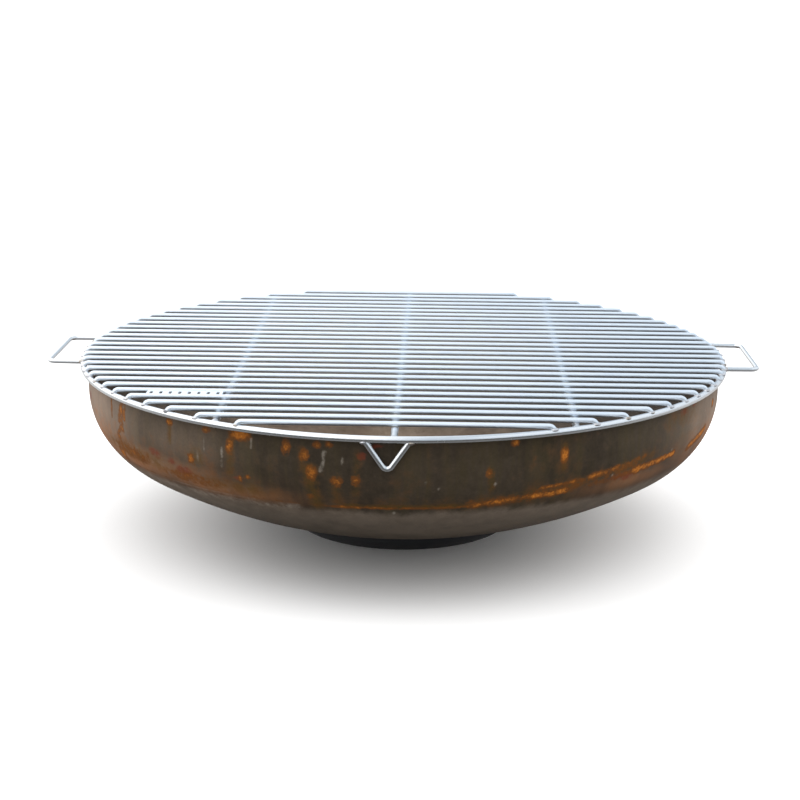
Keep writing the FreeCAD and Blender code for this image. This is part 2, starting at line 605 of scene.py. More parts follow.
class Weather:
    """The places, noises and marks that the parts of the bowl's finish share."""

    def __init__(self, g: ShaderGraph, radius: float, rim: float) -> None:
        """Adds their nodes.

        Args:
            g: The finish's tree.
            radius: The bowl's outer radius.
            rim: The rim's height.
        """
        point = g.coordinate()
        self.x, y, z = g.split(point)
        self.reach = (self.x * self.x + y * y + 1e-6) ** 0.5
        run_point = g.joined(self.x / self.reach * radius, y / self.reach * radius, z * 0.12)
        self.depth = (rim - z) / MM
        self.cloud = g.noise(point, 6, 5, 0.6)
        self.haze = g.noise(point, 12, 4, 0.55)
        self.patch = g.noise(point, 19, 6, 0.66)
        self.speckle = g.noise(point, 58, 6, 0.75)
        self.mottle = g.noise(point, 75, 6, 0.7)
        self.flake = g.noise(point, 170, 4, 0.68)
        self.grain = g.noise(point, 330, 4, 0.7)
        self.runs = g.noise(run_point, 30, 5, 0.62)
        self.fine_runs = g.noise(run_point, 130, 3, 0.6)
        self.ragged = self.mottle * 0.45 + self.flake * 0.55 - 0.5
        self.inner = g.attribute("inner_face")
        self.marks = {kind: g.attribute(kind.value) for kind in Mark}


@dataclass(frozen=True)
class WeatheredSteel:
    """Raw hot-rolled steel with mill scale, a thin red-brown film and fresh rust in spots and runs."""

    scale_dark: Colour = (0.028, 0.021, 0.014)
    scale_light: Colour = (0.066, 0.050, 0.035)
    olive: Colour = (0.050, 0.038, 0.017)
    film: Colour = (0.090, 0.042, 0.017)
    crown_grey: Colour = (0.195, 0.155, 0.120)
    worn: Colour = (0.235, 0.172, 0.128)
    worn_red_and_sheen: Colour = (0.300, 0.132, 0.058)
    rust_dark: Colour = (0.135, 0.048, 0.012)
    rust: Colour = (0.30, 0.098, 0.016)
    rust_bright: Colour = (0.46, 0.165, 0.026)
    stain: Colour = (0.075, 0.046, 0.008)
    maroon: Colour = (0.15, 0.034, 0.016)
    pale: Colour = (0.36, 0.32, 0.27)
    inside: Colour = (0.26, 0.20, 0.15)
    inside_dark: Colour = (0.19, 0.14, 0.102)
    painted_wall_shade: Colour = (0.042, 0.034, 0.029)
    radius: float = 0.4
    rim: float = 0.2128
    line_depth: float = 82.0

    def material(self) -> bpy.types.Material:
        """Builds the finish.

        Returns:
            A material that reads the marks and the inner face from the bowl's own attributes.
        """
        material, g = new_shader("weathered_steel")
        w = Weather(g, self.radius, self.rim)
        edge = w.depth + (w.patch - 0.5) * 14 + (w.mottle - 0.5) * 8
        low = edge.step(self.line_depth - 2, self.line_depth + 11) * (1 - w.inner)
        tone = (w.cloud * 0.40 + w.mottle * 0.30 + w.runs * 0.30).step(0.34, 0.68)
        stained = w.marks[Mark.STAIN]
        film = (w.patch * 0.40 + w.runs * 0.22 + w.mottle * 0.38 + stained * 0.20).step(0.50, 0.76)
        base = self.scale_coat(g, w, low, tone, film)

        brown = (w.marks[Mark.BROWN] * (1 + w.ragged * 3.2)).step(0.25, 0.75)
        base = g.mix(brown * 0.75, base, self.maroon)
        stain = (stained * (1 + (w.runs * 0.5 + w.mottle * 0.5 - 0.5) * 3.6)).step(0.20, 1.05)
        base = g.mix(stain * 0.8, base, g.mix(w.mottle.step(0.40, 0.72), self.stain, self.film))

        fresh = w.marks[Mark.ORANGE] * (1 + w.ragged * 4.2)
        halo, orange = fresh.step(0.18, 0.46), fresh.step(0.44, 0.90)
        scattered = (w.speckle * 0.7 + w.patch * 0.3).step(0.61, 0.70) * (1 - low * 0.9)
        base = g.mix(halo.larger(scattered * 0.5) * 0.8, base, self.rust_dark)
        base = g.mix(orange, base, g.mix(w.grain.step(0.40, 0.72), self.rust, self.rust_bright))
        pale = (w.marks[Mark.PALE] * (1 + w.ragged * 3.0)).step(0.25, 0.95)
        base = g.mix(pale * 0.48, base, self.pale)

        base = g.scaled(g.mix(w.inner, base, self.lining(g, w)), 0.78 + w.grain * 0.44)
        rusty = halo.larger(stain * 0.6)
        rough = 0.50 + tone * 0.10 + film * 0.14 + rusty * 0.3 + w.inner * 0.2 + (w.grain - 0.5) * 0.14
        metal = (1 - rusty) * (1 - w.inner) * (1 - brown * 0.7) * 0.08
        height = w.mottle * 0.2 + w.grain * 0.3 + orange * 0.4 + halo * 0.1
        g.surface(
            Base_Color=base, Roughness=rough, Metallic=metal, Specular_IOR_Level=0.08,
            Normal=g.bump(height, 0.5 * MM, 0.6),
        )
        return material

    def scale_coat(
        self, g: ShaderGraph, w: Weather, low: Value, tone: Value, film: Value
    ) -> bpy.types.NodeSocket:
        """Colour of the mill scale, its film, the lighter crown and the worn areas, which at the bowl's two
        ends are also painted sheen.

        Args:
            g: The finish's tree.
            w: The shared places and noises.
            low: 1 on the crown, below the line of the spinning tool.
            tone: From the darkest to the lightest scale.
            film: How thick the red-brown film is.

        Returns:
            The colour.
        """
        base = g.mix(tone, self.scale_dark, self.scale_light)
        olive = (w.runs * 0.6 + w.fine_runs * 0.4).step(0.42, 0.60) * (1 - low)
        base = g.mix(olive * 0.55, base, self.olive)
        base = g.mix(film * (1 - low * 0.6) * 0.9, base, self.film)
        base = g.mix(low * (w.patch * 0.5 + w.cloud * 0.4 + w.mottle * 0.5 - 0.12), base, self.crown_grey)
        # lighter worn areas: wear, and painted sheen at the bowl's two ends
        worn = w.marks[Mark.WORN] * (1 + (w.patch * 0.5 + w.runs * 0.5 - 0.5) * 2.4)
        redder = (w.mottle * 0.6 + w.depth * 0.006).step(0.42, 0.78)
        return g.mix(worn * (1 - low * 0.5), base, g.mix(redder, self.worn, self.worn_red_and_sheen))

    def lining(self, g: ShaderGraph, w: Weather) -> bpy.types.NodeSocket:
        """Colour of the inside: bare in the middle, with painted shade that darkens the inner wall towards
        the rim and towards +X.

        Args:
            g: The finish's tree.
            w: The shared places and noises.

        Returns:
            The colour.
        """
        bare = g.mix(w.haze.step(0.35, 0.7), self.inside, self.inside_dark)
        bare = g.mix((w.patch * 0.6 + w.mottle * 0.4).step(0.53, 0.68) * 0.40, bare, self.film)
        # painted shade on the inner wall: darker towards the rim and towards +X
        wall_shade_amount = (w.reach + w.x * 0.10 + (w.cloud - 0.5) * 0.10 + (w.mottle - 0.5) * 0.10).step(0.14, 0.36)
        return g.mix(wall_shade_amount * (0.82 + w.patch * 0.3), bare, self.painted_wall_shade)


class Polish(Enum):
    """How bright a rod is; each value is (roughness, lighter colour, duller colour)."""

    SATIN = (0.40, (0.74, 0.80, 0.86), (0.56, 0.64, 0.74))
    BRIGHT = (0.12, (0.80, 0.81, 0.82), (0.62, 0.66, 0.71))


@dataclass(frozen=True)
class BrightRod:
    """Stainless rod with fine drawn lines along it; satin rod is darker at its turned-down ends by the ring,
    which is weld heat tint and painted shade under the bends.
    """

    polish: Polish
    fleck: Colour = (0.24, 0.24, 0.25)
    scorched_and_shaded: Colour = (0.20, 0.19, 0.19)
    bend_top: float = 0.2225
    bend_foot: float = 0.2190
    scorch_and_shade_start: float = 0.374
    scorch_and_shade_full: float = 0.390

    def material(self) -> bpy.types.Material:
        """Builds the finish.

        Returns:
            A material that reads the rod's own length, section and tone.
        """
        material, g = new_shader(f"stainless_rod_{self.polish.name.lower()}")
        roughness, light, dull = self.polish.value
        across, height, _ = g.split(g.attribute_vector("rod_section"))
        along = g.attribute("rod_along")
        tone = g.attribute("rod_tone")
        lines = g.noise(g.joined(across, height, along * 0.012 + tone * 7), 1500, 3, 0.6)
        smear = g.noise(g.joined(across, height, along * 0.22 + tone * 5), 160, 4, 0.6)
        specks = g.noise(g.coordinate(), 420, 4, 0.65).step(0.66, 0.76)
        colour = g.mix(smear.step(0.42, 0.78) * 0.35 + tone * 0.15, light, dull)
        colour = g.mix(specks * 0.4, colour, self.fleck)
        if self.polish is Polish.SATIN:
            x, y, z = g.split(g.coordinate())
            outside = ((x * x + y * y) ** 0.5).step(self.scorch_and_shade_start, self.scorch_and_shade_full)
            # weld heat tint and painted shade on the turned-down ends under the bends
            ends = z.step(self.bend_top, self.bend_foot) * outside
            colour = g.mix(ends * (0.45 + smear * 0.7), colour, self.scorched_and_shaded)
        rough = roughness + lines * 0.10 + smear * 0.08 + specks * 0.25
        g.surface(Base_Color=colour, Roughness=rough, Metallic=1.0, Normal=g.bump(lines, 0.02 * MM, 0.5))
        return material


@dataclass(frozen=True)
class WeldBead:
    """Small bright beads with the straw and blue tint of heat round them."""

    metal: Colour = (0.58, 0.58, 0.60)
    straw: Colour = (0.36, 0.29, 0.20)
    blue: Colour = (0.12, 0.15, 0.22)

    def material(self) -> bpy.types.Material:
        """Builds the finish.

        Returns:
            The material.
        """
        material, g = new_shader("weld_bead")
        point = g.coordinate()
        tint = g.noise(point, 90, 3, 0.5)
        colour = g.mix(tint.step(0.48, 0.62) * 0.7, self.metal, self.straw)
        colour = g.mix(tint.step(0.62, 0.74) * 0.7, colour, self.blue)
        ripple = g.noise(point, 900, 3, 0.6)
        g.surface(
            Base_Color=colour, Roughness=0.24 + ripple * 0.22, Metallic=1.0,
            Normal=g.bump(ripple, 0.15 * MM, 0.6),
        )
        return material


@dataclass(frozen=True)
class BlackCoating:
    """Matt black heat-resistant coating, a little dusty, with rubbed edges."""

    coat: Colour = (0.012, 0.012, 0.013)
    dust: Colour = (0.055, 0.050, 0.045)

    def material(self) -> bpy.types.Material:
        """Builds the finish.

        Returns:
            The material.
        """
        material, g = new_shader("black_coating")
        point = g.coordinate()
        z = g.split(point)[2]
        dusty = (g.noise(point, 22, 5, 0.6) * 0.7 + z.step(0.012, 0.0) * 0.3).step(0.45, 0.8)
        orange_peel = g.noise(point, 520, 2, 0.5)
        colour = g.mix(dusty * 0.5, self.coat, self.dust)
        rough = 0.5 + dusty * 0.3 + orange_peel * 0.08
        g.surface(Base_Color=colour, Roughness=rough, Normal=g.bump(orange_peel, 0.12 * MM, 0.5))
        return material


# --- sub-assemblies ------------------------------------------------------------------------------

# Marks on the front, in degrees round the bowl from its front and millimetres down from its rim.
FRONT_MARKS: dict[Mark, tuple[Spot | Streak, ...]] = {
    Mark.ORANGE: (
        # left end
        Streak(((-53, 2), (-54.2, 14), (-53.4, 30), (-55.5, 44), (-54.8, 58), (-57, 74)), 4.5, 0.52),
        Streak(((-52.3, 5), (-52.6, 22)), 3.5, 0.62), Spot(-54.4, 24, 5, 7, 0.70),
        Spot(-53.3, 36, 4, 5, 0.60), Spot(-55.4, 48, 5, 7, 0.65), Spot(-57, 73, 8, 9, 0.95),
        Spot(-53.5, 12, 7, 9, 0.75), Streak(((-57.5, 4), (-57.5, 26)), 3.5, 0.5),
        Spot(-52, 62, 60, 12, 0.52), Spot(-36, 70, 60, 9, 0.48), Spot(-39.6, 7, 6, 5, 0.75),
        Spot(-31.5, 6, 7, 5, 0.65), Spot(-25, 5, 13, 7, 1.0), Spot(-27, 20, 5.5, 10, 0.75),
        Spot(-17, 13, 6, 9, 0.85), Spot(-35, 44, 6, 8, 0.75), Spot(-24, 53, 5, 3.5, 0.65),
        Spot(-25.5, 57, 4, 5, 0.6),
        # middle
        Spot(-14, 20, 6.5, 8, 0.72), Spot(-13, 39, 6.5, 10, 0.80), Spot(-9, 48, 8, 7, 0.70),
        Spot(-6, 44, 5.5, 9, 0.65), Spot(-13.5, 68, 5, 5, 0.5), Spot(-12, 7, 6, 5, 0.55),
        Spot(-10, 6, 5, 5, 0.55),
        # right end
        Spot(15, 38, 6, 8, 0.55), Spot(19, 5, 6, 5, 0.70), Spot(27.6, 24, 5, 9, 1.10),
        # the line left by the spinning tool, and the smears that climb from it on the right
        Streak(((-60, 82), (-44, 81), (-26, 80), (-10, 80)), 2.0, 0.30),
        Streak(((-10, 80), (0, 79.5), (12, 78.5)), 2.4, 0.56),
        Streak(((13, 77), (18, 73.5), (24, 70)), 5.2, 0.60), Streak(((23, 71.5), (29, 69)), 4.8, 0.85),
        Streak(((24, 61.5), (30, 59)), 3.0, 0.60), Streak(((33, 57), (39, 51)), 5.2, 0.60),
        Streak(((40, 50), (45, 46)), 4.6, 0.45), Streak(((43, 61), (48, 58.5), (54, 56)), 4.6, 0.85),
        Spot(44, 61, 8, 6, 1.0), Streak(((12, 76), (20, 72), (31, 66)), 8.5, 0.40),
        Streak(((30, 61), (36, 56), (43, 51)), 8.0, 0.38),
        Streak(((34, 66), (44, 61), (50, 58)), 7.5, 0.36),
        Streak(((60, 57), (64, 52), (67, 48)), 6.5, 0.80), Streak(((77, 80), (84, 78)), 3.4, 0.9),
    ),
    Mark.BROWN: (
        Spot(-5, 17, 7, 6, 0.8), Spot(-3, 5, 12, 4, 0.7), Spot(-44, 50, 13, 8, 0.75),
        Spot(-50, 60, 14, 8, 0.75), Spot(-40, 54, 10, 7, 0.7), Spot(-49, 67, 10, 5, 0.8),
        Spot(-37.5, 62, 16, 8, 0.95), Spot(-26, 57, 10, 4, 0.6), Spot(42, 66, 14, 8, 0.75),
        Spot(56, 8, 12, 6, 0.7), Spot(60, 5, 9, 5, 0.7), Spot(40, 64, 22, 6, 0.7),
    ),
    Mark.STAIN: (
        # left end
        Spot(-50, 62, 110, 15, 0.85), Spot(-28, 70, 70, 12, 0.80),
        Streak(((-39.6, 6), (-39.6, 30)), 5, 0.9), Streak(((-26.5, 8), (-27.5, 52)), 8, 0.75),
        Spot(-34, 40, 16, 16, 0.8),
        # middle
        Streak(((-13, 36), (-12.5, 78)), 11, 1.0), Streak(((-9, 46), (-9, 74)), 9, 0.6),
        Streak(((-5.5, 16), (-6, 60)), 8, 0.6), Streak(((-14.5, 14), (-14.5, 36)), 6, 0.6),
        Spot(0, 72, 120, 9, 0.40),
        # right end
        Streak(((15, 34), (15.5, 56)), 6, 0.7), Streak(((27.6, 14), (27.6, 40)), 5, 0.7),
        Spot(55, 14, 55, 16, 0.55),
        # the line left by the spinning tool, and the smears that climb from it on the right
        Streak(((-8, 78), (12, 77)), 4.5, 0.9),
        Streak(((12, 77), (18, 72), (26, 67), (34, 59), (42, 52), (47, 46)), 11.0, 0.62),
    ),
    Mark.PALE: (
        Streak(((-32, 18), (-32, 30)), 2.6, 0.6), Streak(((-28.5, 24), (-28.5, 34)), 2.4, 0.8),
        Streak(((-28.7, 38), (-28.7, 46)), 2.4, 0.75), Streak(((-33.5, 33), (-33.5, 43)), 3.6, 0.6),
        Streak(((-23, 8), (-23, 18)), 2.4, 0.6), Streak(((-10.8, 14), (-11, 24), (-11.4, 36)), 2.8, 0.8),
        Streak(((-8, 20), (-8, 26)), 2.2, 0.65),
        # the two long streaks 82 to 90 mm down on the left are a painted highlight along the crown's top edge
        Streak(((-50, 90), (-36, 90), (-24, 88), (-16, 85)), 7.0, 0.50),
        Streak(((-42, 82), (-34, 82), (-24, 82)), 2.2, 0.5), Spot(5, 46, 3, 3, 0.6),
        Spot(7, 54, 3, 3, 0.6), Spot(16, 51, 3, 3, 0.75), Spot(0, 86, 3, 4, 0.7), Spot(38, 60, 3, 3, 0.7),
        Spot(53, 50, 3, 3, 0.7),
    ),
    Mark.WORN: (
        # wear; the broad lighter areas at the bowl's two ends are also painted sheen
        Spot(-68, 30, 125, 75, 1.0), Spot(-52, 66, 140, 19, 0.95), Spot(-32, 75, 100, 12, 0.70),
        Spot(-38, 28, 75, 34, 0.34), Spot(70, 40, 95, 60, 0.85), Spot(44, 74, 80, 12, 0.50),
    ),
}


@dataclass
class Bowl:
    """The spun bowl: a straight skirt, a knuckle, a spherical crown and a drain hole."""

    wall: float = 0.003
    skirt: float = 0.025
    knuckle: float = 0.100
    crown: float = 0.685
    rim_round: float = 0.001
    drain_radius: float = 0.006
    segments: int = 720
    row_height: float = 0.0022
    far_marks: int = 90
    far_worn: int = 9
    far_streak_share: float = 0.3
    seed: int = 11
    body: str = "bowl"
    outer: float = field(default_factory=lambda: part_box("bowl")[1].x)
    rim: float = field(default_factory=lambda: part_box("bowl")[1].z)

    def face(self, inset: float, fine: bool) -> list[tuple[float, float]]:
        """One face of the wall from the drain hole up to the skirt's foot.

        Args:
            inset: Distance inside the outer face.
            fine: Whether the knuckle gets rows close enough to carry the marks.

        Returns:
            (radius, height) points.
        """
        knuckle_centre = (self.outer - self.knuckle, self.rim - self.skirt)
        gap = self.crown - self.knuckle
        crown_centre = (0.0, knuckle_centre[1] + math.sqrt(gap**2 - knuckle_centre[0] ** 2))
        meet = math.acos(knuckle_centre[0] / gap)
        sphere = self.crown - inset
        bend = self.knuckle - inset
        rows = math.ceil(bend * meet / self.row_height) if fine else 26
        start = math.acos(self.drain_radius / sphere)
        crown_arc = arc(crown_centre, sphere, -start, -meet, 34 if fine else 24)
        return crown_arc + arc(knuckle_centre, bend, -meet, 0.0, rows)[1:]

    def outline(self) -> list[tuple[float, float]]:
        """The closed outline of the wall, with rounded rim edges.

        Returns:
            Its points, each a radius and a height.
        """
        outside = self.face(0, True)
        inside = self.face(self.wall, False)
        inner = self.outer - self.wall
        low = self.rim - self.rim_round
        foot = self.rim - self.skirt
        count = math.ceil((low - foot) / self.row_height)
        rise = [(self.outer, foot + (low - foot) * i / count) for i in range(1, count)]
        support = [(self.outer, low - 0.4 * MM)]
        lip = arc((self.outer - self.rim_round, low), self.rim_round, 0, math.pi / 2, 4)
        back_lip = arc((inner + self.rim_round, low), self.rim_round, math.pi / 2, math.pi, 4)
        drop = [(inner, low - 0.4 * MM), (inner, (low + foot) / 2)]
        return outside + rise + support + lip + back_lip + drop + inside[::-1]

    def marks(self) -> dict[Mark, list[Spot | Streak]]:
        """The chosen marks on the front, and random ones on the sides and back.

        Returns:
            The marks of each kind.
        """
        draw = random.Random(self.seed)
        found = {kind: list(FRONT_MARKS[kind]) for kind in Mark}
        for _ in range(self.far_marks):
            azimuth = draw.uniform(66, 294)
            depth = draw.uniform(3, 95)
            kind = draw.choices((Mark.ORANGE, Mark.BROWN, Mark.PALE), (5, 4, 2))[0]
            size = draw.uniform(3, 10) if kind is not Mark.PALE else draw.uniform(2, 4)
            if draw.random() < self.far_streak_share:
                end = (azimuth + draw.uniform(-1, 1), depth + draw.uniform(10, 35))
                found[kind].append(Streak(((azimuth, depth), end), size * 0.5, draw.uniform(0.5, 0.9)))
            else:
                height = size * draw.uniform(0.5, 0.9)
                found[kind].append(Spot(azimuth, depth, size, height, draw.uniform(0.6, 1.1)))
        for _ in range(self.far_worn):
            place = (draw.uniform(95, 265), draw.uniform(10, 90))
            extent = (draw.uniform(40, 130), draw.uniform(12, 45))
            found[Mark.WORN].append(Spot(*place, *extent, draw.uniform(0.3, 0.8)))
        line = tuple((88 + 8 * i, 79 + 3 * math.sin(i * 1.3)) for i in range(22))
        found[Mark.ORANGE].append(Streak(line, 2.2, 0.62))
        return found

    def dress(self, mesh: bpy.types.Mesh) -> None:
        """Stores where the inner face and the marks are.

        Args:
            mesh: The bowl's mesh.
        """
        points = vertex_array(mesh)
        reach = np.hypot(points[:, 0], points[:, 1])
        depth = (self.rim - points[:, 2]) / MM
        azimuth = np.degrees(np.arctan2(points[:, 0], -points[:, 1]))
        round_length = math.tau * self.outer / MM
        along = azimuth / 360 * round_length
        outer_face = np.array(self.face(0, True) + [(self.outer, self.rim)])
        level = np.interp(reach, outer_face[:, 0], outer_face[:, 1])
        inner = (points[:, 2] > level + self.wall * 0.5) & (reach < self.outer - self.wall * 0.5)
        paint(mesh, "inner_face", inner.astype(float))
        for kind, marks in self.marks().items():
            amount = np.zeros(len(points))
            for mark in marks:
                amount = np.maximum(amount, mark.amount(along, depth, round_length))
            paint(mesh, kind.value, amount * ~inner)

    def build(self, shell: GeometryGraph) -> list[bpy.types.Object]:
        """Makes the bowl.

        Args:
            shell: The spun shell group.

        Returns:
            The bowl's one piece.
        """
        finish = WeatheredSteel(radius=self.outer, rim=self.rim).material()
        piece = spin(shell, "bowl_shell", self.outline(), self.segments, finish)
        self.dress(piece.data)
        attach(piece, self.body)
        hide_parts("bowl")
        return [piece]


@dataclass
class FootRing:
    """The low black ring that the crown rests on."""

    wall: float = 0.004
    edge_round: float = 0.0006
    segments: int = 256
    body: str = "foot_ring"
    outer: float = field(default_factory=lambda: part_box("foot_ring")[1].x)
    height: float = field(default_factory=lambda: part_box("foot_ring")[1].z)

    def outline(self) -> list[tuple[float, float]]:
        """The ring's section with four small rounds and rows that keep the flats flat.

        Returns:
            Its points, each a radius and a height.
        """
        r = self.edge_round
        inner = self.outer - self.wall
        quarter = math.pi / 2
        corners = (
            (self.outer - r, r, -quarter),
            (self.outer - r, self.height - r, 0.0),
            (inner + r, self.height - r, quarter),
            (inner + r, r, 2 * quarter),
        )
        found: list[tuple[float, float]] = []
        for x, z, start in corners:
            found.extend(arc((x, z), r, start, start + quarter, 4))
        return found

    def build(self, shell: GeometryGraph) -> list[bpy.types.Object]:
        """Makes the foot ring.

        Args:
            shell: The spun shell group.

        Returns:
            The ring's one piece.
        """
        piece = spin(shell, "foot_ring_wall", self.outline(), self.segments, BlackCoating().material())
        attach(piece, self.body)
        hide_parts("foot_ring")
        return [piece]


SIDES = (-1, 1)
HANDLES = {-1: "handle_left", 1: "handle_right"}
LUG_PLACES = ("front", "rear_right", "rear_left")


class Bead(Enum):
    """Kinds of weld bead; each value is its half sizes in millimetres."""

    NUGGET = (4.3, 3.3, 1.0)
    TACK = (4.3, 4.3, 2.0)
    BUTT = (4.9, 5.6, 4.4)
    HANDLE = (3.6, 4.0, 3.4)
    LUG = (4.4, 4.4, 2.4)


@dataclass(frozen=True)
class Rod:
    """A single bent rod, named for its CAD node."""

    name: str
    chain: list[Vector]
    radius: float
    bend: float
    tone_seed: int
    polish: Polish

    def build(self, group: GeometryGraph, material: bpy.types.Material) -> bpy.types.Object:
        """Makes the rod.

        Args:
            group: The bent rod group.
            material: The finish.

        Returns:
            The rod's piece.
        """
        source = chain_mesh(f"{self.name}_line", [self.chain])
        return group.build(
            f"{self.name}_rod", source, Rod_radius=self.radius, Bend_radius=self.bend,
            Tone_seed=self.tone_seed, Material=material,
        )


@dataclass
class Grate:
    """The lift-off grate: ring, bars, cross rods, handles, lugs, slotted strip and weld beads."""

    bar_radius: float = 0.003
    ring_rod_radius: float = 0.004
    cross_rod_radius: float = 0.004
    handle_radius: float = 0.003
    lug_radius: float = 0.0035
    bar_bend: float = 0.006
    handle_bend: float = 0.009
    lug_bend: float = 0.006
    handle_width_at_ring: float = 0.136
    handle_width_at_grip: float = 0.134
    lug_half_width: float = 0.0255
    lug_depth: float = 0.037
    lug_first_angle: float = -1.0
    strip_bar: int = 24
    strip_slots: int = 8
    strip_slot_width: float = 0.0035
    strip_slot_length: float = 0.011
    strip_edge: float = 0.0003
    rod_sides: int = 24
    ring_segments: int = 480
    cross_rod_gap: float = 0.002
    nugget_margin: float = 0.010
    nugget_sink: float = 0.0003
    tack_sink: float = 0.0006
    butt_set_back: float = 0.0035
    handle_bead_out: float = 0.003
    lug_bead_drop: float = 0.0034
    bead_roughness: float = 0.0009
    bead_seed: int = 5
    tone_seed: int = 3
    body: str = "grate"
    bar_names: list[str] = field(
        default_factory=lambda: sorted(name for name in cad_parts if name.startswith("bar_"))
    )

    def __post_init__(self) -> None:
        """Reads the places that the CAD nodes give."""
        self.ring_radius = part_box("grate_ring")[1].x - self.ring_rod_radius
        self.ring_z = middle("grate_ring").z
        self.bar_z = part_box(self.bar_names[0])[1].z - self.bar_radius
        self.cross_rods = {name: middle(name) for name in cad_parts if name.startswith("cross_rod_")}
        self.cross_rod_z = middle("cross_rod_centre").z
        self.bar_ys = [middle(name).y for name in self.bar_names]

    def half_chord(self, offset: float) -> float:
        """Half the chord of the ring's centre-line at a distance from its middle."""
        return math.sqrt(self.ring_radius**2 - offset**2)

    def bent_rod_group(self) -> GeometryGraph:
        """A group that turns chains of edges into bent round rods.

        Returns:
            The group.
        """
        inputs = {"Rod radius": "Float", "Bend radius": "Float", "Tone seed": "Int", "Material": "Material"}
        graph = GeometryGraph("bent_rod", inputs)
        toned = self.toned(graph, graph.bent(graph.given("Geometry")))
        graph.close(graph.rod(toned, graph.given("Rod radius"), self.rod_sides))
        return graph

    def toned(self, graph: GeometryGraph, geometry: Any, number: Term = 0) -> bpy.types.NodeSocket:
        """Gives each rod its own tone from 0 to 1.

        Args:
            graph: The group.
            geometry: The rods.
            number: The rod's number in its row.

        Returns:
            The rods with their tone.
        """
        draw = {2: 0.0, 3: 1.0, "Seed": graph.given("Tone seed"), "ID": number}
        value = graph.node("FunctionNodeRandomValue", {"data_type": "FLOAT"}, draw).outputs[1]
        return graph.store(geometry, "rod_tone", "FLOAT", value)

    def ring_group(self) -> GeometryGraph:
        """A group that makes a rod rolled to a circle.

        Returns:
            The group.
        """
        inputs = {
            "Ring radius": "Float", "Rod radius": "Float", "Height": "Float", "Segments": "Int",
            "Tone seed": "Int", "Material": "Material",
        }
        graph = GeometryGraph("rolled_ring", inputs)
        circle = {"Resolution": graph.given("Segments"), "Radius": graph.given("Ring radius")}
        path = graph.node("GeometryNodeCurvePrimitiveCircle", None, circle).outputs[0]
        toned = self.toned(graph, path)
        rod = graph.rod(toned, graph.given("Rod radius"), self.rod_sides)
        lift = graph.joined(0.0, 0.0, graph.number("Height"))
        graph.close(graph.node("GeometryNodeSetPosition", None, {"Geometry": rod, "Offset": lift}).outputs[0])
        return graph

    def bar_group(self) -> GeometryGraph:
        """A group that lays the row of bars, each as long as the ring's chord, with its ends turned down.

        Returns:
            The group.
        """
        inputs = {
            "Count": "Int", "Back y": "Float", "Front y": "Float",
            "Ring radius": "Float", "Ring height": "Float",
            "Bar height": "Float", "Bar radius": "Float", "Bend radius": "Float", "Tone seed": "Int",
            "Material": "Material",
        }
        graph = GeometryGraph("bar_row", inputs)
        back = graph.joined(0.0, graph.number("Back y"), 0.0)
        front = graph.joined(0.0, graph.number("Front y"), 0.0)
        ends = {"Count": graph.given("Count"), 2: back, 3: front}
        row = graph.node("GeometryNodeMeshLine", {"mode": "END_POINTS"}, ends).outputs[0]
        chain = {"Count": 4, 3: (0.0, 0.0, 0.0)}
        corners = graph.node("GeometryNodeMeshLine", {"mode": "OFFSET"}, chain).outputs[0]
        one_each = {"Points": row, "Instance": corners}
        laid = graph.node("GeometryNodeInstanceOnPoints", None, one_each).outputs[0]
        real = graph.node("GeometryNodeRealizeInstances", None, {0: laid}).outputs[0]
        index = graph.index()
        number = index.math("FLOOR", (index + 0.5) / 4)
        corner = index - number * 4
        position = graph.node("GeometryNodeInputPosition").outputs[0]
        place = graph.node("ShaderNodeSeparateXYZ", None, {0: position})
        y = Value(graph, place.outputs[1])
        radius, low = graph.number("Ring radius"), graph.number("Ring height")
        chord = (radius * radius - y * y) ** 0.5
        side = corner.math("SIGN", corner - 1.5)
        raised = corner.math("LESS_THAN", corner.math("ABSOLUTE", corner - 1.5), 1.0)
        spot = graph.joined(chord * side, y, low + raised * (graph.number("Bar height") - low))
        toned = self.toned(graph, real, number)
        placed = graph.node("GeometryNodeSetPosition", None, {"Geometry": toned, "Position": spot}).outputs[0]
        graph.close(graph.rod(graph.bent(placed), graph.given("Bar radius"), self.rod_sides))
        return graph

    def bead_group(self) -> GeometryGraph:
        """A group that sets one irregular bead on each source point, as large as its bead_size says.

        Returns:
            The group.
        """
        graph = GeometryGraph("weld_beads", {"Seed": "Int", "Roughness": "Float", "Material": "Material"})
        ball = graph.node("GeometryNodeMeshIcoSphere", None, {"Radius": 1.0, "Subdivisions": 3}).outputs[0]
        kind = {"data_type": "FLOAT_VECTOR"}
        size = graph.node("GeometryNodeInputNamedAttribute", kind, {"Name": "bead_size"})
        draw = {0: (0.85, 0.85, 0.85), 1: (1.2, 1.2, 1.2), "Seed": graph.given("Seed")}
        vary = graph.node("FunctionNodeRandomValue", {"data_type": "FLOAT_VECTOR"}, draw).outputs[0]
        product = {0: size.outputs[0], 1: vary}
        scale = graph.node("ShaderNodeVectorMath", {"operation": "MULTIPLY"}, product).outputs[0]
        laid = {"Points": graph.given("Geometry"), "Instance": ball, "Scale": scale}
        beads = graph.node("GeometryNodeInstanceOnPoints", None, laid).outputs[0]
        real = graph.node("GeometryNodeRealizeInstances", None, {0: beads}).outputs[0]
        grain = graph.node("ShaderNodeTexNoise", None, {"Scale": 320.0, "Detail": 2.0})
        middle_grey = {0: grain.outputs[1], 1: (0.5, 0.5, 0.5)}
        centred = graph.node("ShaderNodeVectorMath", {"operation": "SUBTRACT"}, middle_grey).outputs[0]
        push = {0: centred, "Scale": graph.given("Roughness")}
        offset = graph.node("ShaderNodeVectorMath", {"operation": "SCALE"}, push).outputs[0]
        moved = graph.node("GeometryNodeSetPosition", None, {"Geometry": real, "Offset": offset})
        graph.close(moved.outputs[0])
        return graph

